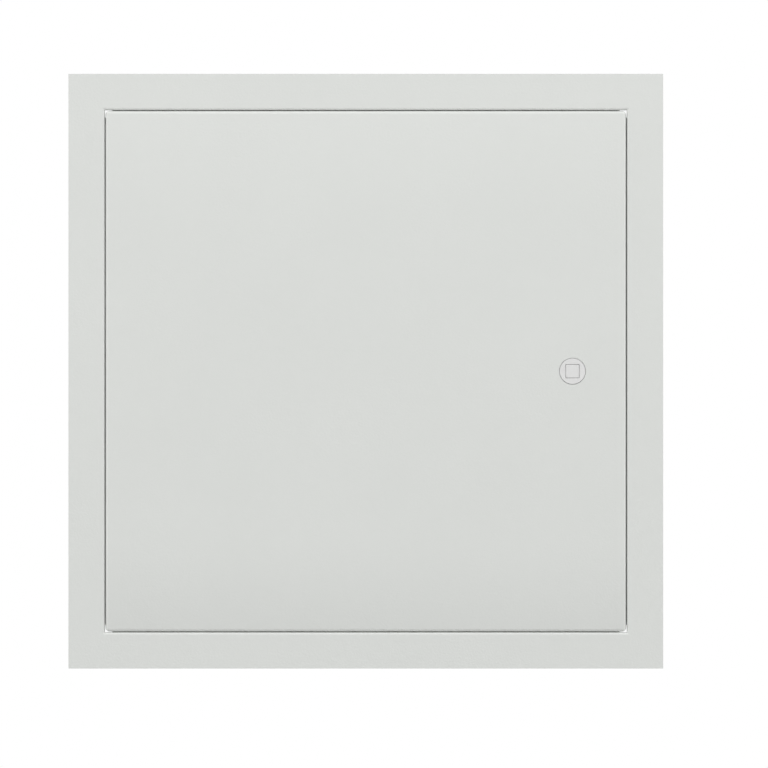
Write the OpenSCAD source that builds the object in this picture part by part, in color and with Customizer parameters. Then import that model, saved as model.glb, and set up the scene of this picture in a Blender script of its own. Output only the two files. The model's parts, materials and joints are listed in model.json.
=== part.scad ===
// Square steel access panel: a picture frame of four mitred rails, a flush
// hinged door tray on two pivot pins, and a quarter-turn lock whose square key
// socket is closed by a sprung shutter.
// X runs to the lock side, Z runs up and the face looks along -Y.
// The plane y = 0 is the wall or ceiling surface behind the flange.

/* [Frame] */
// Overall width of the frame, across the flanges
overall_w = 345; // [280:5:600]
// Overall height of the frame, across the flanges
overall_h = 345; // [280:5:600]
// Width of the flange, from its outer edge to the aperture
flange_w = 21; // [16:0.5:40]
// Depth of the frame, from the front of the flange to the back of the upstand
frame_depth = 46; // [44:1:80]
// Sheet thickness of the frame
frame_t = 1.2; // [0.8:0.1:1.4]
// Outside radius of the bend between the flange and the upstand
frame_bend_r = 1.5; // [1.5:0.1:2.4]
// Length of upstand cut away on each side of a corner
upstand_relief = 4; // [2:0.5:6]
// Depth of the frame that is welded shut at the corners
corner_weld = 3; // [2.6:0.2:6]

/* [Fixing holes] */
// Diameter of the screw holes in the upstand
fixing_d = 5; // [3:0.5:6]
// Distance of each screw hole from the corner of the aperture
fixing_inset = 50; // [30:5:80]
// Distance of each screw hole from the back edge of the upstand
fixing_back = 5.5; // [4.5:0.5:7]

/* [Door] */
// Gap between the door and the frame, all round
door_gap = 0.4; // [0.35:0.05:1.2]
// Sheet thickness of the door
door_t = 1; // [0.8:0.1:1.2]
// Outside radius of the bends round the front and the back of the tray
door_bend_r = 1.8; // [1.6:0.1:2.6]
// Depth of the door tray, from its face to its back
door_depth = 17; // [17:1:20]
// Width of the lip folded in round the back of the tray
door_lip = 10; // [5:0.5:11]
// Radius of the corners of the door's face
door_corner_r = 2.6; // [1.5:0.1:4]
// Length of each return cut away at the tray's corners
return_relief = 3; // [2:0.5:5]
// Width of the slit between the lips at each corner of the tray
lip_slit = 1.6; // [1:0.1:2.5]

/* [Stops and seals] */
// Width of the stop lip that the door closes against
stop_lip = 12; // [11:0.5:16]
// Length of the stop leg that lies on the upstand
stop_leg = 11; // [8:0.5:13]
// Sheet thickness of the stop angles
stop_t = 1.2; // [0.8:0.1:1.4]
// Outside radius of the bend in the stop angles
stop_bend_r = 2; // [1.6:0.1:3]
// Distance that the lock-side stop ends short of the corners
stop_short = 6; // [3:0.5:12]
// Width of the seal's flat base
seal_w = 9; // [6:0.5:10]
// Height of the seal from its base to its crown
seal_h = 4; // [3:0.25:4.5]
// Wall thickness of the hollow seal
seal_wall = 0.9; // [0.6:0.1:1.2]

/* [Hinge] */
// Distance of the pivot axis from the door's hinge edge
pivot_in = 36; // [33:1:38]
// Distance of the pivot axis behind the door's face
pivot_back = 6; // [5.9:0.1:6.6]
// Diameter of the pivot pins
pin_d = 4; // [3.5:0.25:4]
// Travel that takes the spring pin's tip below the top of the door
pin_travel = 6.5; // [5.5:0.5:8]
// Wall thickness of the hinge bushes
bush_wall = 0.7; // [0.5:0.1:0.7]
// Diameter of the flange on the hinge bushes
bush_flange_d = 7.5; // [6.5:0.25:7.5]
// Thickness of the flange on the hinge bushes
bush_flange_t = 0.2; // [0.15:0.05:0.25]
// Length of bush that stands out past the upstand
bush_out = 2; // [1:0.25:3]
// Width of the hinge brackets along the door's edge
bracket_w = 20; // [16:1:30]
// Sheet thickness of the hinge brackets
bracket_t = 2; // [1.5:0.25:2.5]
// Outside radius of the bends in the hinge brackets
bracket_bend_r = 3; // [2.75:0.25:4]
// Height of the spring pin bracket
bracket_h = 36; // [34:1:50]
// Height of the angle bracket under the fixed pivot pin
pivot_bracket_h = 16; // [12:1:24]
// Length of the spring with the pin pushed home
spring_len = 20; // [18:0.5:22]
// Wire diameter of the spring
spring_wire_d = 0.9; // [0.6:0.1:1]
// Number of open turns in the spring
spring_turns = 5; // [4:1:6]
// Diameter of the knob on the spring pin
knob_d = 9; // [7.5:0.25:9]
// Length of the knob on the spring pin
knob_len = 11; // [9:0.5:14]
// Outside diameter of the clip on the spring pin
clip_d = 8; // [7:0.25:8.5]
// Thickness of the clip on the spring pin
clip_t = 0.8; // [0.5:0.1:1]
// Diameter of the head on the fixed pivot pin
pivot_head_d = 7.5; // [6.5:0.5:8.5]
// Thickness of the head on the fixed pivot pin
pivot_head_t = 2; // [1.5:0.25:3]

/* [Lock] */
// Distance of the lock's axis from the door's lock edge
lock_in = 31.2; // [29:0.2:45]
// Diameter of the lock's round face
lock_face_d = 15; // [14:0.25:16]
// Width of the gap round the lock's face
lock_face_gap = 0.25; // [0.2:0.05:0.6]
// Width across the flats of the square key socket
key_square = 8; // [7:0.25:8.25]
// Wall of the square spigot round the key socket
spigot_wall = 0.7; // [0.5:0.05:0.75]
// Length of the spigot behind the lock's face
spigot_len = 3; // [2:0.25:4]
// Width of the gap round the shutter in the key socket
shutter_gap = 0.2; // [0.1:0.05:0.3]
// Distance that a key pushes the shutter in
shutter_travel = 5; // [4:0.5:5.5]
// Thickness of the flange that keeps the shutter in
shutter_flange_t = 1.2; // [0.8:0.1:1.4]
// Wire diameter of the shutter's spring
shutter_wire_d = 0.6; // [0.4:0.05:0.6]
// Number of open turns in the shutter's spring
shutter_turns = 4; // [3:1:4]
// Diameter of the rotor's shoulder behind the door
shoulder_d = 18.5; // [18:0.25:19]
// Thickness of the rotor's shoulder
shoulder_t = 2; // [1.5:0.25:3]
// Diameter of the rotor's shank in the housing
shank_d = 16; // [15.5:0.25:16.5]
// Width of the square end that carries the cam
cam_square = 9; // [8:0.25:9]
// Diameter of the housing's boss
housing_boss_d = 25; // [24:0.5:27]
// Thickness of the housing's base
housing_base_t = 3; // [2.5:0.25:4]
// Width of the housing's base at its fixing ears
housing_ear_w = 14; // [12:0.5:16]
// Distance of each fixing stud from the lock's axis
stud_offset = 20; // [19:0.5:26]
// Diameter of the fixing studs
stud_d = 4; // [3:0.5:5]
// Width of the cam's arm
cam_w = 12; // [10:0.5:14]
// Thickness of the cam
cam_t = 2; // [1.5:0.25:3]
// Length of the cam's tip that passes behind the stop lip
latch_bite = 8; // [5:0.5:9]
// Diameter of the cam screw
cam_screw_d = 5; // [4:0.5:5]
// Length of the cam screw under its head
cam_screw_len = 9; // [7:1:9]

/* [Hidden] */
$fn = 64;

// Paint, plating and moulding colours
paint = "#dcdedb";
zinc = "#b9bcbd";
nylon_white = "#e4e4e1";
nylon_grey = "#4a4d50";
rubber_black = "#26282a";

// Clearances
run_gap = 0.05;      // round pieces that turn or slide in each other
slip_gap = 0.1;      // holes round fasteners and square drives
seat_gap = 0.3;      // faces that stop just short of each other
swing_gap = 1.5;     // room between the swinging door and the stops
coil_gap = 0.4;      // room between a spring and what it runs round or in
latch_gap = 0.5;     // room in front of and behind the cam
eps = 0.5;           // overshoot of cuts

// Planes and apertures of the frame and the door
face_y = -frame_t;
ap_w = overall_w - 2 * flange_w;
ap_h = overall_h - 2 * flange_w;
door_w = ap_w - 2 * door_gap;
door_h = ap_h - 2 * door_gap;
door_back_y = face_y + door_depth;
seal_front_y = door_back_y + seat_gap;
stop_y = seal_front_y + seal_h;

// Hinge axis, and where the stops can start without meeting the swinging tray
pivot_x = -door_w / 2 + pivot_in;
pivot_y = face_y + pivot_back;
pin_r = pin_d / 2;
tray_sweep_r = norm([pivot_in, door_depth - pivot_back]);
stop_start_x = pivot_x + swing_gap
    + sqrt(tray_sweep_r * tray_sweep_r - pow(seal_front_y - pivot_y, 2));
stop_end_x = ap_w / 2 - stop_lip - swing_gap;

// Hinge bushes
bush_bore_d = pin_d + 2 * run_gap;
bush_d = bush_bore_d + 2 * bush_wall;

// Levels of the spring pin, measured down from the upper bracket's seat
return_inner_z = door_h / 2 - door_t;
lug_hole_d = pin_d + 2 * slip_gap;
bracket_front_y = face_y + max(door_t + seat_gap, door_bend_r);
bracket_back_room = 6;
bracket_back_y = pivot_y + pin_r + bracket_back_room;
bracket_reach = bracket_back_y - bracket_front_y;
lower_lug_z = return_inner_z - bracket_h;
spring_z = lower_lug_z + bracket_t;
clip_z = spring_z + spring_len;
clip_groove_d = pin_d - 1;
pin_sink = 1.5;
pin_tip_z = door_h / 2 - pin_sink + pin_travel;
pin_nose = 1;
knob_top_z = lower_lug_z - seat_gap;
knob_socket = knob_len - 3;

// Springs, as rings of points along a helix with a closed turn at each end
coil_sides = 8;
coil_steps = 16;
spring_r = pin_r + coil_gap + spring_wire_d / 2;

// Depths of the lock, measured back from the door's face
shoulder_z = door_t + seat_gap;
counterbore_z = shoulder_z + shoulder_t + seat_gap;
lock_x = door_w / 2 - lock_in;
cam_z = stop_y + stop_t + latch_gap - face_y;
housing_end_z = cam_z - latch_gap;
spigot_end_z = shoulder_z + spigot_len;
pocket_square = key_square + 2 * spigot_wall + 2 * run_gap;
shutter_flange_z = spigot_end_z + slip_gap;
shutter_spring_z = shutter_flange_z + shutter_flange_t;
shutter_spring_len = shutter_travel + (shutter_turns + 2) * shutter_wire_d + coil_gap;
shutter_spring_r = pocket_square / 2 - coil_gap - shutter_wire_d / 2;
pocket_end_z = shutter_spring_z + shutter_spring_len;
cam_len = ap_w / 2 - stop_lip + latch_bite - lock_x;
cam_hub_r = cam_square / 2 * sqrt(2) + 3;
cam_washer_d = 14;
cam_washer_t = 1;
cam_stop_t = 3;
cam_stop_root = 6;
cam_stop_r = housing_boss_d / 2 + 3.5;
housing_rib_t = 2.5;
housing_rib_h = 10;
housing_disc_d = housing_boss_d + 8;
stud_flange_d = stud_d + 2;
stud_flange_t = 0.8;
stud_washer_d = 2 * stud_d + 1;
stud_washer_t = 0.8;
stud_nut_t = 0.8 * stud_d;
stud_nut_d = 2 * stud_d;
stud_end = 2;

// Shapes that more than one piece uses

// Angle of sheet: one leg of length a along x, one of length b along y
module angle_profile(a, b, t, r) {
    translate([r, 0]) square([a - r, t]);
    translate([0, r]) square([t, b - r]);
    intersection() {
        translate([r, r]) difference() {
            circle(r);
            circle(r - t);
        }
        square([r, r]);
    }
}

// Rectangle w wide and d deep, with the two corners at y = 0 rounded
module round_front(w, d, r) {
    translate([-w / 2 + r, 0]) square([w - 2 * r, d]);
    translate([-w / 2, r]) square([w, d - r]);
    for (side = [-1, 1]) translate([side * (w / 2 - r), r]) circle(r);
}

// Rectangle w wide and d deep with all its corners rounded, standing on y = 0
module round_rect(w, d, r) {
    translate([-w / 2 + r, 0]) square([w - 2 * r, d]);
    translate([-w / 2, r]) square([w, d - 2 * r]);
    for (side = [-1, 1], y = [r, d - r]) translate([side * (w / 2 - r), y]) circle(r);
}

// Block with the edges of its front and back faces rounded, front at y = 0
module round_edge_block(w, h, d, r) {
    intersection() {
        translate([0, 0, -h / 2]) linear_extrude(h) round_rect(w, d, r);
        rotate([0, 90, 0]) translate([0, 0, -w / 2]) linear_extrude(w) round_rect(h, d, r);
    }
}

// Turns a piece drawn up from z = 0 to lie along +Y, as the lock does
module at_lock() {
    translate([lock_x, face_y, 0]) rotate([-90, 0, 0]) children();
}

// Hexagon d across its corners, with its far end chamfered
module hex_end(d, h) {
    chamfer_d = 0.88 * d;
    intersection() {
        cylinder(d = d, h = h, $fn = 6);
        cylinder(d1 = chamfer_d + 2 * h / tan(30), d2 = chamfer_d, h = h);
    }
}

// Height of a spring's wire above its seat, after a number of turns
function coil_rise(turn, turns, end_pitch, open_pitch) =
    end_pitch * (min(turn, 1) + max(turn - 1 - turns, 0)) + open_pitch * min(max(turn - 1, 0), turns);

// Ring of points round a spring's wire, after a number of turns
function coil_ring(turn, coil_r, wire_r, rise) = [
    for (i = [0 : coil_sides - 1])
        let (a = 360 * i / coil_sides, reach = coil_r + wire_r * cos(a))
        [reach * cos(360 * turn), reach * sin(360 * turn), wire_r * (1 + sin(a)) + rise]
];

// Compression spring standing on z = 0
module coil_spring(coil_r, wire_d, turns, length) {
    end_pitch = wire_d;
    open_pitch = (length - wire_d - 2 * end_pitch) / turns;
    rings = (turns + 2) * coil_steps;
    points = [
        for (s = [0 : rings])
            let (turn = s / coil_steps)
            each coil_ring(turn, coil_r, wire_d / 2, coil_rise(turn, turns, end_pitch, open_pitch))
    ];
    sides = [
        for (s = [0 : rings - 1], i = [0 : coil_sides - 1])
            let (j = (i + 1) % coil_sides, low = s * coil_sides)
            [low + i, low + coil_sides + i, low + coil_sides + j, low + j]
    ];
    first = [for (i = [0 : coil_sides - 1]) i];
    last = [for (i = [coil_sides - 1 : -1 : 0]) rings * coil_sides + i];
    polyhedron(points, concat([first], sides, [last]), convexity = 10);
}

// Square bar of side w standing on z = 0
module square_bar(w, h) translate([-w / 2, -w / 2, 0]) cube([w, w, h]);

// Moves a piece drawn for the top side round to the other sides
module on_bottom() rotate([0, 180, 0]) children();
module on_lock_side() rotate([0, 90, 0]) children();
module on_hinge_side() rotate([0, -90, 0]) children();

// One piece at each end of the lock's base
module at_studs() {
    for (side = [-1, 1]) translate([0, side * stud_offset, 0]) children();
}

// Frame

// Rail with its aperture edge along X at z = 0, cut to a mitre at both ends
module rail(span) {
    intersection() {
        translate([-span / 2 - flange_w, 0, 0]) rotate([90, 0, 90])
            linear_extrude(span + 2 * flange_w)
                angle_profile(frame_depth, flange_w, frame_t, frame_bend_r);
        translate([0, frame_depth, 0]) rotate([90, 0, 0]) linear_extrude(frame_depth)
            polygon([
                [-span / 2, 0],
                [span / 2, 0],
                [span / 2 + flange_w, flange_w],
                [-span / 2 - flange_w, flange_w]
            ]);
    }
}

// Screw holes through the upstand of a rail
module rail_holes(span) {
    for (side = [-1, 1])
        translate([side * (span / 2 - fixing_inset), frame_depth - fixing_back, -eps])
            cylinder(d = fixing_d, h = frame_t + 2 * eps);
}

module drilled_rail(span) {
    difference() {
        rail(span);
        rail_holes(span);
    }
}

// Four rails welded at their mitres, the upstands open at the corners behind the
// weld, with a hole above and below for the hinge bushes
module frame() {
    color(paint) difference() {
        translate([0, face_y, 0]) {
            translate([0, 0, ap_h / 2]) drilled_rail(ap_w);
            translate([0, 0, -ap_h / 2]) on_bottom() drilled_rail(ap_w);
            translate([-ap_w / 2, 0, 0]) on_hinge_side() drilled_rail(ap_h);
            translate([ap_w / 2, 0, 0]) on_lock_side() drilled_rail(ap_h);
        }
        for (side = [-1, 1])
            translate([pivot_x, pivot_y, side * (ap_h / 2 + frame_t / 2)])
                cylinder(d = bush_d + 2 * run_gap, h = frame_t + 2 * eps, center = true);
        for (x = [-ap_w / 2, ap_w / 2], z = [-ap_h / 2, ap_h / 2])
            translate([x - upstand_relief, face_y + corner_weld, z - upstand_relief])
                cube([2 * upstand_relief, frame_depth, 2 * upstand_relief]);
    }
}

// Stop angle on a side whose upstand is at z = 0, between two places along X
module stop_angle(from_x, to_x) {
    translate([from_x, stop_y, 0]) rotate([90, 0, 90]) linear_extrude(to_x - from_x)
        mirror([0, 1]) angle_profile(stop_leg, stop_lip, stop_t, stop_bend_r);
}

module stop_angle_top() {
    color(paint) translate([0, 0, ap_h / 2]) stop_angle(stop_start_x, stop_end_x);
}

module stop_angle_bottom() {
    color(paint) translate([0, 0, -ap_h / 2]) on_bottom() stop_angle(-stop_end_x, -stop_start_x);
}

module stop_angle_lock_side() {
    color(paint) translate([ap_w / 2, 0, 0]) on_lock_side()
        stop_angle(-ap_h / 2 + stop_short, ap_h / 2 - stop_short);
}

// Round-backed outline of the seal, with its flat base on y = 0
module seal_outline(w, h) {
    crown_r = (w * w / 4 + h * h) / (2 * h);
    intersection() {
        translate([0, h - crown_r]) circle(crown_r);
        translate([-w / 2, 0]) square([w, h]);
    }
}

// Hollow seal on a stop angle, crown towards the door
module seal(from_x, to_x) {
    translate([from_x, stop_y, -stop_lip / 2]) rotate([90, 0, 90]) linear_extrude(to_x - from_x)
        rotate(90) difference() {
            seal_outline(seal_w, seal_h);
            translate([0, seal_wall])
                seal_outline(seal_w - 2 * seal_wall, seal_h - 2 * seal_wall);
        }
}

module seal_top() {
    color(rubber_black) translate([0, 0, ap_h / 2]) seal(stop_start_x, stop_end_x);
}

module seal_bottom() {
    color(rubber_black) translate([0, 0, -ap_h / 2]) on_bottom() seal(-stop_end_x, -stop_start_x);
}

module seal_lock_side() {
    color(rubber_black) translate([ap_w / 2, 0, 0]) on_lock_side()
        seal(-ap_h / 2 + stop_short, ap_h / 2 - stop_short);
}

// Bush whose flange lies under the upstand at z = 0
module hinge_bush() {
    difference() {
        union() {
            translate([0, 0, -bush_flange_t]) cylinder(d = bush_flange_d, h = bush_flange_t);
            cylinder(d = bush_d, h = frame_t + bush_out);
        }
        translate([0, 0, -bush_flange_t - eps])
            cylinder(d = bush_bore_d, h = bush_flange_t + frame_t + bush_out + 2 * eps);
    }
}

module hinge_bush_top() {
    color(nylon_grey) translate([pivot_x, pivot_y, ap_h / 2]) hinge_bush();
}

module hinge_bush_bottom() {
    color(nylon_grey) translate([pivot_x, pivot_y, -ap_h / 2]) rotate([180, 0, 0]) hinge_bush();
}

// Door

// Cuts that round the face's corner, open the returns behind it and part the lips
module tray_corner_cut() {
    open_y = door_bend_r + seat_gap;
    translate([0, -eps, 0]) rotate([-90, 0, 0]) linear_extrude(door_depth + 2 * eps) difference() {
        translate([-door_corner_r, -door_corner_r]) square(2 * door_corner_r);
        translate([-door_corner_r, door_corner_r]) circle(door_corner_r);
        translate([-2 * door_corner_r, 0]) square([door_corner_r, 2 * door_corner_r]);
    }
    translate([-return_relief, open_y, -return_relief])
        cube([2 * return_relief, door_depth, 2 * return_relief]);
    translate([0, open_y, 0]) rotate([0, -45, 0])
        translate([-door_lip * sqrt(2), door_bend_r, -lip_slit / 2])
            cube([door_lip * sqrt(2), door_depth, lip_slit]);
}

module door_tray() {
    color(paint) difference() {
        translate([0, face_y, 0]) difference() {
            round_edge_block(door_w, door_h, door_depth, door_bend_r);
            translate([0, door_t, 0])
                round_edge_block(
                    door_w - 2 * door_t, door_h - 2 * door_t, door_depth - 2 * door_t, door_bend_r - door_t
                );
            translate([-door_w / 2 + door_lip, door_t, -door_h / 2 + door_lip])
                cube([door_w - 2 * door_lip, door_depth, door_h - 2 * door_lip]);
            for (side = [0, 180]) rotate([0, side, 0]) {
                translate([door_w / 2, 0, door_h / 2]) tray_corner_cut();
                mirror([1, 0, 0]) translate([door_w / 2, 0, door_h / 2]) tray_corner_cut();
            }
        }
        at_lock() translate([0, 0, -eps])
            cylinder(d = lock_face_d + 2 * lock_face_gap, h = door_t + 2 * eps);
        for (side = [-1, 1])
            translate([pivot_x, pivot_y, side * (door_h / 2 - door_t / 2)])
                cylinder(d = lug_hole_d, h = door_t + 2 * eps, center = true);
    }
}

// Channel round the spring pin, its upper lug on the tray's top return
module spring_pin_bracket() {
    color(paint) difference() {
        translate([pivot_x - bracket_w / 2, bracket_back_y, lower_lug_z + bracket_h / 2])
            rotate([0, 90, 0]) rotate([0, 0, 180]) linear_extrude(bracket_w) difference() {
                round_front(bracket_h, bracket_reach, bracket_bend_r);
                translate([0, bracket_t])
                    round_front(bracket_h - 2 * bracket_t, bracket_reach, bracket_bend_r - bracket_t);
            }
        translate([pivot_x, pivot_y, lower_lug_z - eps]) cylinder(d = lug_hole_d, h = bracket_h + 2 * eps);
    }
}

module hinge_pin_spring() {
    color(zinc) translate([pivot_x, pivot_y, spring_z])
        coil_spring(spring_r, spring_wire_d, spring_turns, spring_len);
}

// Angle bracket on the tray's bottom return, under the fixed pin
module pivot_bracket() {
    color(paint) difference() {
        translate([pivot_x - bracket_w / 2, bracket_back_y, -return_inner_z])
            rotate([90, 0, 90]) linear_extrude(bracket_w)
                mirror([1, 0]) angle_profile(bracket_reach, pivot_bracket_h, bracket_t, bracket_bend_r);
        translate([pivot_x, pivot_y, -return_inner_z - eps])
            cylinder(d = lug_hole_d, h = bracket_t + 2 * eps);
    }
}

// Pin with a tapered nose, its point at the given height
module nosed_pin(bottom_z, tip_z) {
    translate([0, 0, bottom_z]) cylinder(d = pin_d, h = tip_z - bottom_z - pin_nose);
    translate([0, 0, tip_z - pin_nose]) cylinder(d1 = pin_d, d2 = pin_d - pin_nose, h = pin_nose);
}

module pivot_pin() {
    head_z = return_inner_z - bracket_t;
    color(zinc) translate([pivot_x, pivot_y, 0]) rotate([180, 0, 0]) {
        nosed_pin(head_z - pivot_head_t / 2, pin_tip_z);
        translate([0, 0, head_z - pivot_head_t]) cylinder(d = pivot_head_d, h = pivot_head_t);
    }
}

// Spring pin

module spring_pin() {
    color(zinc) translate([pivot_x, pivot_y, 0]) difference() {
        nosed_pin(knob_top_z - knob_socket, pin_tip_z);
        translate([0, 0, clip_z]) difference() {
            cylinder(d = pin_d + 2 * eps, h = clip_t + slip_gap);
            translate([0, 0, -eps]) cylinder(d = clip_groove_d, h = clip_t + 2 * eps);
        }
    }
}

module spring_pin_clip() {
    inner_d = clip_groove_d + 2 * run_gap;
    color(zinc) translate([pivot_x, pivot_y, clip_z]) difference() {
        cylinder(d = clip_d, h = clip_t);
        translate([0, 0, -eps]) cylinder(d = inner_d, h = clip_t + 2 * eps);
        translate([-inner_d * 0.4, 0, -eps]) cube([inner_d * 0.8, clip_d, clip_t + 2 * eps]);
    }
}

module spring_pin_knob() {
    waist_d = knob_d - 3;
    cap_h = knob_len / 4;
    color(nylon_grey) translate([pivot_x, pivot_y, knob_top_z - knob_len]) difference() {
        union() {
            cylinder(d1 = knob_d - 2, d2 = knob_d, h = cap_h);
            translate([0, 0, cap_h]) cylinder(d = knob_d, h = cap_h);
            translate([0, 0, 2 * cap_h]) cylinder(d1 = knob_d, d2 = waist_d, h = cap_h);
            translate([0, 0, 3 * cap_h]) cylinder(d = waist_d, h = cap_h);
        }
        translate([0, 0, knob_len - knob_socket - run_gap])
            cylinder(d = pin_d + 2 * run_gap, h = knob_socket + run_gap + eps);
    }
}

// Lock

module housing_base() {
    square([housing_ear_w, 2 * stud_offset], center = true);
    at_studs() circle(d = housing_ear_w);
    circle(d = housing_disc_d);
}

// Rib from the boss to the rim of the base, on one side
module housing_rib() {
    rotate([90, 0, 0]) translate([0, 0, -housing_rib_t / 2]) linear_extrude(housing_rib_t)
        polygon([[0, 0], [housing_disc_d / 2, 0], [housing_boss_d / 2, housing_rib_h], [0, housing_rib_h]]);
}

// Lug on the boss that the cam's arm turns against, beside an arm along +X
module cam_stop_lug() {
    translate([0, cam_w / 2 + seat_gap, housing_end_z - cam_stop_root])
        cube([cam_stop_r, cam_stop_t, cam_stop_root + cam_z + cam_t - housing_end_z]);
}

module lock_housing() {
    color(nylon_grey) at_lock() difference() {
        union() {
            translate([0, 0, door_t]) linear_extrude(housing_base_t) housing_base();
            translate([0, 0, door_t]) cylinder(d = housing_boss_d, h = housing_end_z - door_t);
            for (side = [0, 180]) rotate(side) translate([0, 0, door_t + housing_base_t]) housing_rib();
            mirror([0, 1]) cam_stop_lug();
            rotate(90) cam_stop_lug();
        }
        cylinder(d = shoulder_d + 2 * seat_gap, h = counterbore_z);
        cylinder(d = shank_d + 2 * run_gap, h = housing_end_z + eps);
        translate([0, 0, housing_end_z])
            cylinder(r = cam_hub_r + seat_gap, h = cam_z + cam_t);
        at_studs() {
            cylinder(d = stud_d + 2 * slip_gap, h = door_t + housing_base_t + eps);
            cylinder(d = stud_flange_d + 2 * slip_gap, h = door_t + stud_flange_t + slip_gap);
        }
    }
}

module lock_studs() {
    color(zinc) at_lock() at_studs() translate([0, 0, door_t]) {
        cylinder(d = stud_flange_d, h = stud_flange_t);
        cylinder(d = stud_d, h = housing_base_t + stud_washer_t + stud_nut_t + stud_end);
    }
}

module lock_washers() {
    color(zinc) at_lock() at_studs() translate([0, 0, door_t + housing_base_t]) difference() {
        cylinder(d = stud_washer_d, h = stud_washer_t);
        translate([0, 0, -eps]) cylinder(d = stud_d + 2 * slip_gap, h = stud_washer_t + 2 * eps);
    }
}

module lock_nuts() {
    color(zinc) at_lock() at_studs() translate([0, 0, door_t + housing_base_t + stud_washer_t])
        difference() {
            hex_end(stud_nut_d, stud_nut_t);
            translate([0, 0, -eps]) cylinder(d = stud_d + 2 * run_gap, h = stud_nut_t + 2 * eps);
        }
}

// Round face with the key socket, its spigot pushed into the rotor's pocket
module lock_face() {
    color(nylon_white) at_lock() difference() {
        union() {
            cylinder(d = lock_face_d, h = shoulder_z);
            square_bar(key_square + 2 * spigot_wall, spigot_end_z);
        }
        translate([0, 0, -eps]) square_bar(key_square, spigot_end_z + 2 * eps);
    }
}

// Rotor with a square pocket in front and a square end behind
module lock_rotor() {
    square_len = cam_t - slip_gap;
    rotor_end = cam_z + square_len;
    color(nylon_white) at_lock() difference() {
        union() {
            translate([0, 0, shoulder_z]) cylinder(d = shoulder_d, h = shoulder_t);
            translate([0, 0, shoulder_z]) cylinder(d = shank_d, h = cam_z - shoulder_z);
            translate([0, 0, cam_z - eps]) square_bar(cam_square, square_len + eps);
        }
        square_bar(pocket_square, pocket_end_z);
        translate([0, 0, rotor_end - cam_screw_len])
            cylinder(d = cam_screw_d + 2 * run_gap, h = cam_screw_len + eps);
    }
}

// Shutter flush with the lock's face, with a flange behind the spigot
module key_shutter() {
    color(nylon_white) at_lock() {
        square_bar(key_square - 2 * shutter_gap, shutter_spring_z);
        translate([0, 0, shutter_flange_z]) square_bar(pocket_square - 2 * slip_gap, shutter_flange_t);
    }
}

module shutter_spring() {
    color(zinc) at_lock() translate([0, 0, shutter_spring_z])
        coil_spring(shutter_spring_r, shutter_wire_d, shutter_turns, shutter_spring_len);
}

// Cam with its arm hanging down, clear of the stop
module lock_cam() {
    hole = cam_square + 2 * run_gap;
    color(zinc) at_lock() translate([0, 0, cam_z]) linear_extrude(cam_t) difference() {
        union() {
            circle(cam_hub_r);
            translate([-cam_w / 2, 0]) square([cam_w, cam_len - cam_w / 2]);
            translate([0, cam_len - cam_w / 2]) circle(d = cam_w);
        }
        square(hole, center = true);
    }
}

module cam_washer() {
    color(zinc) at_lock() translate([0, 0, cam_z + cam_t]) difference() {
        cylinder(d = cam_washer_d, h = cam_washer_t);
        translate([0, 0, -eps]) cylinder(d = cam_screw_d + 2 * slip_gap, h = cam_washer_t + 2 * eps);
    }
}

module cam_screw() {
    head_h = 0.7 * cam_screw_d;
    head_d = 1.85 * cam_screw_d;
    color(zinc) at_lock() translate([0, 0, cam_z + cam_t + cam_washer_t]) {
        hex_end(head_d, head_h);
        translate([0, 0, -cam_screw_len]) cylinder(d = cam_screw_d, h = cam_screw_len);
    }
}

frame();
stop_angle_top();
stop_angle_bottom();
stop_angle_lock_side();
seal_top();
seal_bottom();
seal_lock_side();
hinge_bush_top();
hinge_bush_bottom();
door_tray();
spring_pin_bracket();
hinge_pin_spring();
pivot_bracket();
pivot_pin();
lock_housing();
lock_studs();
lock_washers();
lock_nuts();
spring_pin();
spring_pin_clip();
spring_pin_knob();
lock_face();
lock_rotor();
shutter_spring();
lock_cam();
cam_washer();
cam_screw();
key_shutter();
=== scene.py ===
import json
import math

import bmesh
import bpy
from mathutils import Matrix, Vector


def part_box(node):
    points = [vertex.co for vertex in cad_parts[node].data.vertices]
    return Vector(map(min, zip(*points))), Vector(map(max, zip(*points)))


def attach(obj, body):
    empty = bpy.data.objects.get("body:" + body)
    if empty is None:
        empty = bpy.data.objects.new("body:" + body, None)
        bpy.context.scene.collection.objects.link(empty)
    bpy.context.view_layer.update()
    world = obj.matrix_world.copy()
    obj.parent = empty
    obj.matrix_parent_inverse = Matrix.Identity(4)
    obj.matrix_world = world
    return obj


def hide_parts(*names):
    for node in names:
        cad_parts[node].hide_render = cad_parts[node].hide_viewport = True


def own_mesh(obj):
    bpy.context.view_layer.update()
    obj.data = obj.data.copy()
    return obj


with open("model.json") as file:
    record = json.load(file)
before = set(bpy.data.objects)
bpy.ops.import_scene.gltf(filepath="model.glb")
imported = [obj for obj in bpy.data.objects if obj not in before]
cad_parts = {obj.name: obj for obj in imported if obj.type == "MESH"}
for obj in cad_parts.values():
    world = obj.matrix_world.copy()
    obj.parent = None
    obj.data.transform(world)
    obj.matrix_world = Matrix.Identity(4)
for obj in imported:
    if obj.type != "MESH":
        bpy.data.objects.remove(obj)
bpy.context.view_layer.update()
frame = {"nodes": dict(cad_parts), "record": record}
nodes = frame["nodes"]
frameLow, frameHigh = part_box("frame")
faceY = frameLow.y                      # front of the flange and of the door
mm = 0.001
white = (1.0, 1.0, 1.0, 1.0)
print("frame loaded,", len(nodes), "nodes")


# Camera

photoView = {
    "size": 768,            # pixels along each side of the picture
    "left": 68.42,          # the panel's outer edges, in pixels
    "right": 663.19,
    "top": 73.89,
    "bottom": 668.55,
    "lens": 200.0,          # a long lens, square on to the face
    "sensor": 36.0,
    "nearest": 0.05,        # nothing closer to the lens is drawn
}


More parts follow.
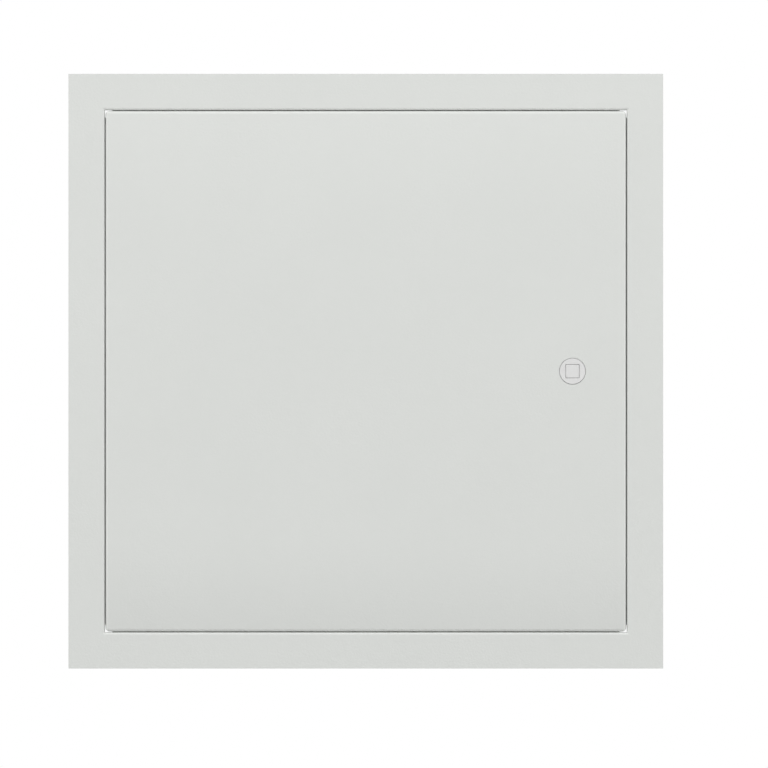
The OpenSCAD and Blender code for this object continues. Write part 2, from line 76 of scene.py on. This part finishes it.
def addCamera(s):
    perPixel = (frameHigh.x - frameLow.x) / (s["right"] - s["left"])
    middle = s["size"] / 2
    aimX = (middle - (s["left"] + s["right"]) / 2) * perPixel
    aimZ = ((s["top"] + s["bottom"]) / 2 - middle) * perPixel
    distance = s["size"] * perPixel * s["lens"] / s["sensor"]
    data = bpy.data.cameras.new("viewCamera")
    data.lens = s["lens"]
    data.sensor_width = s["sensor"]
    data.clip_start = s["nearest"]
    camera = bpy.data.objects.new("viewCamera", data)
    camera.location = (aimX, faceY - distance, aimZ)
    camera.rotation_euler = (math.pi / 2, 0, 0)
    bpy.context.collection.objects.link(camera)
    bpy.context.scene.camera = camera


addCamera(photoView)
print("camera placed")


# What every node tree is put together with

def feed(tree, socket, value):
    if isinstance(value, bpy.types.NodeSocket):
        tree.links.new(value, socket)
    else:
        socket.default_value = value


def addNode(tree, kind, settings=None, **values):
    # The inputs take sockets or plain values, with _ for a space in their names
    node = tree.nodes.new(kind)
    for name, value in (settings or {}).items():
        setattr(node, name, value)
    for label, value in values.items():
        feed(tree, node.inputs[label.replace("_", " ")], value)
    return node


def work(tree, operation, *values):
    node = addNode(tree, "ShaderNodeMath", {"operation": operation})
    for socket, value in zip(node.inputs, values):
        feed(tree, socket, value)
    return node.outputs[0]


def mapRange(tree, value, start=(0.0, 1.0), end=(0.0, 1.0)):
    node = addNode(
        tree, "ShaderNodeMapRange", Value=value,
        From_Min=start[0], From_Max=start[1], To_Min=end[0], To_Max=end[1],
    )
    return node.outputs["Result"]


def mixShaders(tree, share, first, second):
    node = addNode(tree, "ShaderNodeMixShader")
    for socket, value in zip(node.inputs, (share, first, second)):
        feed(tree, socket, value)
    return node.outputs[0]


def pointOnPiece(tree):
    return addNode(tree, "ShaderNodeTexCoord").outputs["Object"]


# Light and floor

studio = {
    "ambient": 0.472,                   # even light from all round
    "lamps": {                          # where from, power, width and height
        "keyLight": ((0.0, -1.70, 1.70), 30.3, 1.6, 1.6),       # above and in front of the face
        "leftStrip": ((-1.70, -0.26, 0.0), 11.0, 0.4, 1.6),     # strips graze the face and catch its bends
        "rightStrip": ((1.70, -0.26, 0.0), 11.0, 0.4, 1.6),
        "topStrip": ((0.0, -0.26, 1.70), 3.2, 1.6, 0.4),
        "backLight": ((0.80, 2.60, 0.75), 26.0, 3.0, 2.2),
    },
    "unmirrored": ["backLight"],        # plated steel facing it would turn plain white
    "floorZ": -0.45,
    "floorFront": -4.0,
    "floorBack": 2.3,                   # ends where the picture's lower edge would meet it
    "floorHalfWidth": 4.0,
    "floorColour": (0.66, 0.66, 0.66, 1.0),
    "floorRoughness": 0.8,
    "floorPaler": 0.18,                 # added near the object to what is seen of the floor
    "floorFade": (0.5, 1.9),            # turns to plain white between these distances
}


def addSeenRays(tree):
    # 1 for what is seen, by the camera itself or in a gloss, and 0 for what lights the object
    path = addNode(tree, "ShaderNodeLightPath")
    seen = path.outputs["Is Camera Ray"]
    for name in ("Is Glossy Ray", "Is Transmission Ray"):
        seen = work(tree, "MAXIMUM", seen, path.outputs[name])
    return seen


def addWorld(s):
    world = bpy.data.worlds.new("studioWorld")
    bpy.context.scene.world = world
    world.use_nodes = True
    tree = world.node_tree
    tree.nodes.clear()
    light = addNode(tree, "ShaderNodeBackground", Color=white, Strength=s["ambient"])
    backdrop = addNode(tree, "ShaderNodeBackground", Color=white, Strength=1.0)
    around = mixShaders(tree, addSeenRays(tree), light.outputs[0], backdrop.outputs[0])
    addNode(tree, "ShaderNodeOutputWorld", Surface=around)


def addLamps(s):
    for name, (start, power, wide, tall) in s["lamps"].items():
        data = bpy.data.lights.new(name, "AREA")
        data.shape = "RECTANGLE"
        data.energy = power
        data.size, data.size_y = wide, tall
        lamp = bpy.data.objects.new(name, data)
        lamp.location = start
        lamp.visible_glossy = name not in s["unmirrored"]
        lamp.rotation_euler = (-Vector(start)).to_track_quat("-Z", "Y").to_euler()
        bpy.context.collection.objects.link(lamp)


def makeFloorFinish(s):
    # Looks paler than it lights the object, and is seen through from below
    material = bpy.data.materials.new("studioFloor")
    material.use_nodes = True
    tree = material.node_tree
    shader = tree.nodes["Principled BSDF"]
    shader.inputs["Base Color"].default_value = s["floorColour"]
    shader.inputs["Roughness"].default_value = s["floorRoughness"]
    shader.inputs["Emission Color"].default_value = white
    away = addNode(tree, "ShaderNodeVectorMath", {"operation": "LENGTH"}, Vector=pointOnPiece(tree))
    paler = mapRange(tree, away.outputs["Value"], s["floorFade"], (s["floorPaler"], 1.0))
    feed(tree, shader.inputs["Emission Strength"], work(tree, "MULTIPLY", addSeenRays(tree), paler))
    clear = addNode(tree, "ShaderNodeBsdfTransparent")
    below = addNode(tree, "ShaderNodeNewGeometry").outputs["Backfacing"]
    shown = mixShaders(tree, below, shader.outputs[0], clear.outputs[0])
    feed(tree, tree.nodes["Material Output"].inputs["Surface"], shown)
    return material


def addFloor(s):
    w, z = s["floorHalfWidth"], s["floorZ"]
    front, back = s["floorFront"], s["floorBack"]
    mesh = bpy.data.meshes.new("studioFloor")
    mesh.from_pydata([(-w, front, z), (w, front, z), (w, back, z), (-w, back, z)], [], [(0, 1, 2, 3)])
    mesh.materials.append(makeFloorFinish(s))
    floor = bpy.data.objects.new("studioFloor", mesh)
    bpy.context.collection.objects.link(floor)


addWorld(studio)
addLamps(studio)
addFloor(studio)
bpy.context.scene.view_settings.view_transform = "Standard"
print("studio lit")


# Finishes, with their sizes in metres

mottleLayers = {            # the input that sets a layer's size, and how many octaves it has
    "Patches": ("Patch Size", 3.0),
    "Grain": ("Grain Size", 2.0),
}


def buildMottle(layers):
    # Soft patches and a fine grain over any surface
    group = bpy.data.node_groups.new("mottle", "ShaderNodeTree")
    for layer, (label, _) in layers.items():
        group.interface.new_socket(name=label, in_out="INPUT", socket_type="NodeSocketFloat")
        group.interface.new_socket(name=layer, in_out="OUTPUT", socket_type="NodeSocketFloat")
    group.interface.new_socket(name="Stretch", in_out="INPUT", socket_type="NodeSocketVector")
    given = group.nodes.new("NodeGroupInput").outputs
    result = group.nodes.new("NodeGroupOutput").inputs
    stretched = addNode(group, "ShaderNodeVectorMath", {"operation": "MULTIPLY"})
    feed(group, stretched.inputs[0], pointOnPiece(group))
    feed(group, stretched.inputs[1], given["Stretch"])
    for layer, (label, octaves) in layers.items():
        scale = work(group, "DIVIDE", 1.0, given[label])
        noise = addNode(group, "ShaderNodeTexNoise", Vector=stretched.outputs[0], Scale=scale, Detail=octaves)
        feed(group, result[layer], noise.outputs["Fac"])
    return group


mottle = buildMottle(mottleLayers)


def addCrown(tree, bump, crown):
    # The sheet leans back a little towards its lower and its upper edge
    height = addNode(tree, "ShaderNodeSeparateXYZ", Vector=pointOnPiece(tree)).outputs["Z"]
    for start, end, depth in crown:
        curve = work(tree, "POWER", mapRange(tree, height, (start, end)), 2.0)
        lean = addNode(tree, "ShaderNodeBump", {"invert": True}, Height=curve, Strength=1.0, Distance=depth)
        feed(tree, bump.inputs["Normal"], lean.outputs["Normal"])
        bump = lean


def makeFinish(name, s):
    material = bpy.data.materials.new(name)
    material.use_nodes = True
    tree = material.node_tree
    shader = tree.nodes["Principled BSDF"]
    shader.inputs["Metallic"].default_value = s.get("metallic", 0.0)
    spread = addNode(
        tree, "ShaderNodeGroup", {"node_tree": mottle},
        Patch_Size=s["patchSize"], Grain_Size=s["grainSize"], Stretch=s.get("stretch", (1, 1, 1)),
    )
    patches = spread.outputs["Patches"]
    colour = addNode(tree, "ShaderNodeMix", {"data_type": "RGBA"})
    for index, value in ((0, patches), (6, (*s["dark"], 1)), (7, (*s["light"], 1))):
        feed(tree, colour.inputs[index], value)             # the node's sockets for a mix of colours
    feed(tree, shader.inputs["Base Color"], colour.outputs[2])
    feed(tree, shader.inputs["Roughness"], mapRange(tree, patches, end=s["roughness"]))
    bump = addNode(
        tree, "ShaderNodeBump", Height=spread.outputs["Grain"], Strength=s["bump"], Distance=s["grainHeight"]
    )
    feed(tree, shader.inputs["Normal"], bump.outputs["Normal"])
    if "crown" in s:
        addCrown(tree, bump, s["crown"])
    return material


satinPaint = {              # off-white powder coat with a faint orange peel
    "dark": (0.655, 0.670, 0.648), "light": (0.675, 0.690, 0.668),
    "patchSize": 0.06, "grainSize": 0.0013, "roughness": (0.34, 0.46),
    "bump": 1.0, "grainHeight": 0.00009,
}
sealRubber = {              # extruded, so its grain is stretched along its length
    "dark": (0.016, 0.017, 0.018), "light": (0.030, 0.031, 0.032),
    "patchSize": 0.006, "grainSize": 0.0007, "roughness": (0.55, 0.75),
    "bump": 0.5, "grainHeight": 0.00005,
}
doorCrown = [               # from a height to a height, and how far back the sheet leans there
    (-0.100, -0.151, 0.0040),
    (0.075, 0.149, 0.0019),
]
finishes = {
    "powderCoat": satinPaint,
    "doorPaint": dict(satinPaint, crown=doorCrown),
    "zincPlate": {          # bright plated steel, a little cloudy
        "dark": (0.50, 0.52, 0.54), "light": (0.68, 0.69, 0.70), "metallic": 1.0,
        "patchSize": 0.004, "grainSize": 0.0003, "roughness": (0.24, 0.42),
        "bump": 0.3, "grainHeight": 0.00002,
    },
    "whiteNylon": {
        "dark": (0.680, 0.680, 0.675), "light": (0.705, 0.705, 0.70),
        "patchSize": 0.008, "grainSize": 0.0004, "roughness": (0.38, 0.50),
        "bump": 0.25, "grainHeight": 0.00002,
    },
    "greyNylon": {          # spark-eroded mould texture
        "dark": (0.055, 0.058, 0.062), "light": (0.085, 0.089, 0.094),
        "patchSize": 0.01, "grainSize": 0.0005, "roughness": (0.45, 0.62),
        "bump": 0.6, "grainHeight": 0.00005,
    },
    "rubberAlongX": dict(sealRubber, stretch=(0.05, 1, 1)),
    "rubberAlongZ": dict(sealRubber, stretch=(1, 1, 0.05)),
}
materials = {name: makeFinish(name, s) for name, s in finishes.items()}

finishOf = {
    "powderCoat": ["frame", "stop_angle_top", "stop_angle_bottom", "stop_angle_lock_side",
                   "spring_pin_bracket", "pivot_bracket"],
    "doorPaint": ["door_tray"],
    "zincPlate": ["hinge_pin_spring", "pivot_pin", "lock_studs", "lock_washers", "lock_nuts", "spring_pin",
                  "spring_pin_clip", "shutter_spring", "lock_cam", "cam_washer", "cam_screw"],
    "whiteNylon": ["lock_face", "lock_rotor", "key_shutter"],
    "greyNylon": ["hinge_bush_top", "hinge_bush_bottom", "lock_housing", "spring_pin_knob"],
    "rubberAlongX": ["seal_top", "seal_bottom"],
    "rubberAlongZ": ["seal_lock_side"],
}
finishFor = {node: finish for finish, names in finishOf.items() for node in names}
bodyFor = {node: body for body, names in frame["record"]["behaviour"]["bodies"].items() for node in names}
for node, finish in finishFor.items():
    nodes[node].data.materials.clear()
    nodes[node].data.materials.append(materials[finish])
print("finishes on")


# Edges broken by deburring, moulding or paint

edgeBreak = {                   # millimetres
    "stop_angle_top": 0.15, "stop_angle_bottom": 0.15, "stop_angle_lock_side": 0.15,
    "spring_pin_bracket": 0.3, "pivot_bracket": 0.3, "pivot_pin": 0.3,
    "lock_housing": 0.5, "lock_face": 0.2, "key_shutter": 0.15, "lock_cam": 0.3,
    "lock_washers": 0.12, "lock_nuts": 0.12, "cam_washer": 0.12, "cam_screw": 0.15,
    "spring_pin_clip": 0.1, "spring_pin_knob": 0.5, "hinge_bush_top": 0.1, "hinge_bush_bottom": 0.1,
}
edgeShape = {
    "mergeWithin": 0.002,       # millimetres between points that are one
    "flatWithin": 0.4,          # degrees between triangles that are one face
    "sharpFrom": 35.0,          # degrees between faces whose edge is broken
    "segments": 2,
    "faceWeight": 100,          # keeps large faces flat beside their edges
}


def standFor(piece, node):
    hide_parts(node)
    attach(piece, bodyFor[node])


def plainMesh(holder):
    graph = bpy.context.evaluated_depsgraph_get()
    mesh = bpy.data.meshes.new_from_object(holder.evaluated_get(graph))
    holder.modifiers.clear()
    holder.data = mesh


def smoothFaces(mesh):
    mesh.polygons.foreach_set("use_smooth", [True] * len(mesh.polygons))


def softenEdges(node, width, s):
    solid = bmesh.new()
    solid.from_mesh(nodes[node].data)
    bmesh.ops.remove_doubles(solid, verts=solid.verts, dist=s["mergeWithin"] * mm)
    flat = math.radians(s["flatWithin"])
    bmesh.ops.dissolve_limit(solid, angle_limit=flat, verts=solid.verts, edges=solid.edges)
    mesh = bpy.data.meshes.new(node + "_soft")
    solid.to_mesh(mesh)
    solid.free()
    mesh.materials.append(materials[finishFor[node]])
    smoothFaces(mesh)
    piece = bpy.data.objects.new(node + "_soft", mesh)
    bpy.context.collection.objects.link(piece)
    bevel = piece.modifiers.new("edges", "BEVEL")
    bevel.width = width * mm
    bevel.segments = s["segments"]
    bevel.limit_method = "ANGLE"
    bevel.angle_limit = math.radians(s["sharpFrom"])
    piece.modifiers.new("flat", "WEIGHTED_NORMAL").weight = s["faceWeight"]
    plainMesh(piece)
    standFor(piece, node)


for node, width in edgeBreak.items():
    softenEdges(node, width, edgeShape)
print("edges softened on", len(edgeBreak), "pieces")


# Node trees for what winds or repeats

socketKinds = {float: "NodeSocketFloat", int: "NodeSocketInt", tuple: "NodeSocketVector"}


def newTree(name, inputs):
    tree = bpy.data.node_groups.new(name, "GeometryNodeTree")
    tree.interface.new_socket(name="Geometry", in_out="INPUT", socket_type="NodeSocketGeometry")
    for label, value in inputs.items():
        socket = tree.interface.new_socket(name=label, in_out="INPUT", socket_type=socketKinds[type(value)])
        socket.default_value = value
    tree.interface.new_socket(name="Finish", in_out="INPUT", socket_type="NodeSocketMaterial")
    tree.interface.new_socket(name="Geometry", in_out="OUTPUT", socket_type="NodeSocketGeometry")
    return tree, tree.nodes.new("NodeGroupInput").outputs


def closeTree(tree, given, geometry):
    realized = addNode(tree, "GeometryNodeRealizeInstances", Geometry=geometry).outputs[0]
    finished = addNode(tree, "GeometryNodeSetMaterial", Geometry=realized, Material=given["Finish"])
    feed(tree, tree.nodes.new("NodeGroupOutput").inputs[0], finished.outputs[0])


def vector(tree, **parts):
    return addNode(tree, "ShaderNodeCombineXYZ", **parts).outputs[0]


def transform(tree, geometry, **changes):
    return addNode(tree, "GeometryNodeTransform", Geometry=geometry, **changes).outputs[0]


def joinUp(tree, *geometries):
    both = tree.nodes.new("GeometryNodeJoinGeometry")
    for geometry in geometries:
        feed(tree, both.inputs[0], geometry)
    return both.outputs[0]


def shadeSmooth(tree, geometry, **selection):
    return addNode(tree, "GeometryNodeSetShadeSmooth", Geometry=geometry, **selection).outputs[0]


def copyTo(tree, points, shape, **turn):
    return addNode(tree, "GeometryNodeInstanceOnPoints", Points=points, Instance=shape, **turn).outputs[0]


def sweepWire(tree, path, radius, sides, capped):
    section = addNode(tree, "GeometryNodeCurvePrimitiveCircle", Resolution=sides, Radius=radius)
    wire = addNode(
        tree, "GeometryNodeCurveToMesh", Curve=path, Profile_Curve=section.outputs[0], Fill_Caps=capped
    )
    return wire.outputs[0]


def growPiece(name, tree, values, finish, points=(), facings=()):
    seed = bpy.data.meshes.new(name)
    seed.from_pydata(points, [], [])
    if facings:
        facing = seed.attributes.new("facing", "FLOAT_VECTOR", "POINT")
        facing.data.foreach_set("vector", [value for row in facings for value in row])
    piece = bpy.data.objects.new(name, seed)
    bpy.context.collection.objects.link(piece)
    modifier = piece.modifiers.new("grow", "NODES")
    modifier.node_group = tree
    values = dict(values, Finish=materials[finish])
    for item in tree.interface.items_tree:
        if item.in_out == "INPUT" and item.name in values:
            modifier[item.identifier] = values[item.name]
    plainMesh(piece)
    return piece


# Springs: a round wire with one closed turn at each end

def buildCoil():
    tree, given = newTree("coil", {
        "Coil Radius": 0.003, "Wire Radius": 0.0005, "Open Turns": 5.0, "Length": 0.02,
        "Steps": 32, "Wire Sides": 12, "Turned": (0.0, 0.0, 0.0), "Seat": (0.0, 0.0, 0.0),
    })
    steps, turns = given["Steps"], given["Open Turns"]
    wireD = work(tree, "MULTIPLY", given["Wire Radius"], 2.0)
    closedLength = work(tree, "MULTIPLY", wireD, 3.0)       # two closed turns and the wire itself
    pitch = work(tree, "DIVIDE", work(tree, "SUBTRACT", given["Length"], closedLength), turns)
    count = work(tree, "ADD", work(tree, "MULTIPLY", work(tree, "ADD", turns, 2.0), steps), 1.0)
    line = addNode(tree, "GeometryNodeMeshLine", Count=count)
    turn = work(tree, "DIVIDE", tree.nodes.new("GeometryNodeInputIndex").outputs[0], steps)
    afterFirst = work(tree, "SUBTRACT", turn, 1.0)
    afterOpen = work(tree, "MAXIMUM", work(tree, "SUBTRACT", afterFirst, turns), 0.0)
    closed = work(tree, "ADD", work(tree, "MINIMUM", turn, 1.0), afterOpen)
    opened = work(tree, "MINIMUM", work(tree, "MAXIMUM", afterFirst, 0.0), turns)
    rise = work(tree, "ADD", work(tree, "MULTIPLY", closed, wireD), work(tree, "MULTIPLY", opened, pitch))
    angle = work(tree, "MULTIPLY", turn, 2 * math.pi)
    spot = vector(
        tree,
        X=work(tree, "MULTIPLY", given["Coil Radius"], work(tree, "COSINE", angle)),
        Y=work(tree, "MULTIPLY", given["Coil Radius"], work(tree, "SINE", angle)),
        Z=work(tree, "ADD", rise, given["Wire Radius"]),
    )
    wound = addNode(tree, "GeometryNodeSetPosition", Geometry=line.outputs[0], Position=spot)
    path = addNode(tree, "GeometryNodeMeshToCurve", Mesh=wound.outputs[0])
    wire = sweepWire(tree, path.outputs[0], given["Wire Radius"], given["Wire Sides"], True)
    closeTree(tree, given, transform(tree, wire, Rotation=given["Turned"], Translation=given["Seat"]))
    return tree


coil = buildCoil()
hingeSpring = {
    "wire": 0.9, "openTurns": 5.0, "travelJoint": "hinge_pin_pull",
    "along": 2, "turned": (0.0, 0.0, 0.0),                  # upright, on its lower end
}
shutterSpring = {
    "wire": 0.6, "openTurns": 4.0, "travelJoint": "shutter_push",
    "along": 1, "turned": (math.pi / 2, 0.0, 0.0),          # from its back end to the front
}


def addSpring(node, s):
    # The coil stands on its seat at the end that stays put, and follows the box of the plain solid
    low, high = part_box(node)
    along, turned = s["along"], s["turned"]
    length = high[along] - low[along]
    seat = (low + high) / 2
    seat[along] = high[along] if any(turned) else low[along]
    wireR = s["wire"] * mm / 2
    spring = growPiece(node + "_wound", coil, {
        "Coil Radius": (high.x - low.x) / 2 - wireR, "Wire Radius": wireR,
        "Open Turns": s["openTurns"], "Length": length, "Turned": turned, "Seat": tuple(seat),
    }, finishFor[node])
    smoothFaces(spring.data)
    standFor(spring, node)
    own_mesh(spring)


addSpring("hinge_pin_spring", hingeSpring)
addSpring("shutter_spring", shutterSpring)
print("springs wound")


# Threads on the lock's two weld studs

def buildThread():
    tree, given = newTree("thread", {
        "Radius": 0.002, "Length": 0.009, "Pitch": 0.0007, "Depth": 0.0003, "Chamfer": 0.0005,
        "Sides": 40, "Rings": 128, "Flange Radius": 0.003, "Flange Height": 0.0008, "Flat End": 0.99,
    })
    rod = addNode(
        tree, "GeometryNodeMeshCylinder", Vertices=given["Sides"], Side_Segments=given["Rings"],
        Radius=given["Radius"], Depth=given["Length"],
    )
    point = tree.nodes.new("GeometryNodeInputPosition").outputs[0]
    x, y, z = addNode(tree, "ShaderNodeSeparateXYZ", Vector=point).outputs
    angle = work(tree, "DIVIDE", work(tree, "ARCTAN2", y, x), 2 * math.pi)
    phase = work(tree, "FRACT", work(tree, "SUBTRACT", work(tree, "DIVIDE", z, given["Pitch"]), angle))
    slope = work(tree, "ABSOLUTE", work(tree, "SUBTRACT", work(tree, "MULTIPLY", phase, 2.0), 1.0))
    halfLength = work(tree, "MULTIPLY", given["Length"], 0.5)
    fromEnd = work(tree, "DIVIDE", work(tree, "SUBTRACT", halfLength, z), given["Chamfer"])
    runOut = work(tree, "MAXIMUM", slope, work(tree, "SUBTRACT", 1.0, fromEnd))
    inward = work(tree, "DIVIDE", work(tree, "MULTIPLY", runOut, given["Depth"]), given["Radius"])
    shift = vector(
        tree,
        X=work(tree, "MULTIPLY", work(tree, "MULTIPLY", x, inward), -1.0),
        Y=work(tree, "MULTIPLY", work(tree, "MULTIPLY", y, inward), -1.0),
    )
    cut = addNode(tree, "GeometryNodeSetPosition", Geometry=rod.outputs[0], Offset=shift)
    normal = tree.nodes.new("GeometryNodeInputNormal").outputs[0]
    facing = addNode(tree, "ShaderNodeSeparateXYZ", Vector=normal)
    # The end keeps its flat face and the thread is shaded round
    notEnd = work(tree, "LESS_THAN", work(tree, "ABSOLUTE", facing.outputs["Z"]), given["Flat End"])
    thread = shadeSmooth(tree, cut.outputs[0], Selection=notEnd)
    raised = transform(tree, thread, Translation=vector(tree, Z=halfLength))
    flange = addNode(
        tree, "GeometryNodeMeshCylinder", Vertices=given["Sides"],
        Radius=given["Flange Radius"], Depth=given["Flange Height"],
    )
    halfFlange = work(tree, "MULTIPLY", given["Flange Height"], 0.5)
    seated = transform(tree, flange.outputs[0], Translation=vector(tree, Z=halfFlange))
    toBack = transform(tree, joinUp(tree, raised, seated), Rotation=(-math.pi / 2, 0.0, 0.0))
    closeTree(tree, given, copyTo(tree, given["Geometry"], toBack))
    return tree


weldStuds = {
    "diameter": 4.0, "pitch": 0.7, "depth": 0.32, "chamfer": 0.5,
    "flange": 6.0, "flangeHeight": 0.8,
    "sides": 40, "ringsPerPitch": 10,
}


def addStuds(s):
    low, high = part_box("lock_studs")
    length = high.y - low.y
    pitch = s["pitch"] * mm
    edge = s["flange"] * mm / 2
    x = (low.x + high.x) / 2
    studs = growPiece("lock_studs_threaded", buildThread(), {
        "Radius": s["diameter"] * mm / 2, "Length": length, "Pitch": pitch, "Depth": s["depth"] * mm,
        "Chamfer": s["chamfer"] * mm, "Sides": s["sides"], "Rings": int(length / pitch * s["ringsPerPitch"]),
        "Flange Radius": edge, "Flange Height": s["flangeHeight"] * mm,
    }, "zincPlate", [(x, low.y, low.z + edge), (x, low.y, high.z - edge)])
    standFor(studs, "lock_studs")


addStuds(weldStuds)
print("studs threaded")


# Spot welds where the stops are joined to the upstand, on both faces of the two sheets

def buildSpotWelds():
    tree, given = newTree("spotWelds", {
        "Ring Radius": 0.002, "Ring Wire": 0.0003, "Ring Steps": 24, "Wire Sides": 8,
        "Nugget Segments": 20, "Nugget Rings": 8, "Nugget Scale": (0.95, 0.95, 0.12), "Flatness": 0.5,
    })
    circle = addNode(
        tree, "GeometryNodeCurvePrimitiveCircle", Resolution=given["Ring Steps"], Radius=given["Ring Radius"]
    )
    ring = sweepWire(tree, circle.outputs[0], given["Ring Wire"], given["Wire Sides"], False)
    ball = addNode(
        tree, "GeometryNodeMeshUVSphere", Radius=given["Ring Radius"],
        Segments=given["Nugget Segments"], Rings=given["Nugget Rings"],
    )
    nugget = transform(tree, ball.outputs[0], Scale=given["Nugget Scale"])
    pressed = vector(tree, X=1.0, Y=1.0, Z=given["Flatness"])
    mark = shadeSmooth(tree, transform(tree, joinUp(tree, ring, nugget), Scale=pressed))
    facing = addNode(tree, "GeometryNodeInputNamedAttribute", {"data_type": "FLOAT_VECTOR"}, Name="facing")
    aim = addNode(tree, "FunctionNodeAlignRotationToVector", {"axis": "Z"}, Vector=facing.outputs[0])
    closeTree(tree, given, copyTo(tree, given["Geometry"], mark, Rotation=aim.outputs[0]))
    return tree


stopWelds = {
    "radius": 2.1, "ringWire": 0.3, "flatness": 0.6,
    "spacing": 38.0,            # between welds along a stop
    "fromEnd": 12.0,            # from a stop's end to its first weld
    "fromBack": 4.0,            # from the back edge of a stop's leg
    "stopSheet": 1.2, "frameSheet": 1.2,
    "sides": {                  # the axis across a stop's leg, and which way along it is out
        "stop_angle_top": (2, 1), "stop_angle_bottom": (2, -1), "stop_angle_lock_side": (0, 1),
    },
}


def weldPlaces(s):
    # Each weld marks the inside of the leg and the outside of the upstand behind it
    spots, facings = [], []
    for node, (across, outward) in s["sides"].items():
        low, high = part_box(node)
        along = 2 - across
        span = high[along] - low[along] - 2 * s["fromEnd"] * mm
        steps = round(span / (s["spacing"] * mm))
        joint = high[across] if outward > 0 else low[across]
        for step in range(steps + 1):
            for offset, sign in ((-s["stopSheet"], -1), (s["frameSheet"], 1)):
                spot = Vector((0, high.y - s["fromBack"] * mm, 0))
                spot[along] = low[along] + s["fromEnd"] * mm + span * step / steps
                spot[across] = joint + outward * offset * mm
                facing = Vector((0, 0, 0))
                facing[across] = outward * sign
                spots.append(spot)
                facings.append(facing)
    return spots, facings


def addStopWelds(s):
    spots, facings = weldPlaces(s)
    welds = growPiece("stop_welds", buildSpotWelds(), {
        "Ring Radius": s["radius"] * mm, "Ring Wire": s["ringWire"] * mm, "Flatness": s["flatness"],
    }, "powderCoat", spots, facings)
    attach(welds, "frame")


addStopWelds(stopWelds)
print("stops welded")


# Grip ribs round the pull knob

def buildGrip():
    tree, given = newTree("grip", {
        "Ribs": 18, "Ring Radius": 0.0045, "Rib Radius": 0.0003, "Rib Length": 0.003,
        "Rib Segments": 10, "Rib Rings": 8, "Middle": (0.0, 0.0, 0.0),
    })
    ring = addNode(tree, "GeometryNodeMeshCircle", Vertices=given["Ribs"], Radius=given["Ring Radius"])
    ball = addNode(
        tree, "GeometryNodeMeshUVSphere", Radius=given["Rib Radius"],
        Segments=given["Rib Segments"], Rings=given["Rib Rings"],
    )
    stretch = work(tree, "DIVIDE", work(tree, "MULTIPLY", given["Rib Length"], 0.5), given["Rib Radius"])
    rib = shadeSmooth(tree, transform(tree, ball.outputs[0], Scale=vector(tree, X=1.0, Y=1.0, Z=stretch)))
    ribs = copyTo(tree, ring.outputs[0], rib)
    closeTree(tree, given, transform(tree, ribs, Translation=given["Middle"]))
    return tree


knobGrip = {
    "ribs": 18, "ribRadius": 0.32, "sunk": 0.08,
    "from": 0.27, "to": 0.50,   # shares of the knob's length
}


def addKnobGrip(s):
    low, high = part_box("spring_pin_knob")
    tall = high.z - low.z
    middle = (low + high) / 2
    middle.z = low.z + tall * (s["from"] + s["to"]) / 2
    grip = growPiece("knob_grip", buildGrip(), {
        "Ribs": s["ribs"], "Rib Radius": s["ribRadius"] * mm, "Rib Length": tall * (s["to"] - s["from"]),
        "Ring Radius": (high.x - low.x) / 2 - s["sunk"] * mm, "Middle": tuple(middle),
    }, "greyNylon")
    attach(grip, "hinge_pin")


addKnobGrip(knobGrip)
print("knob ribbed")
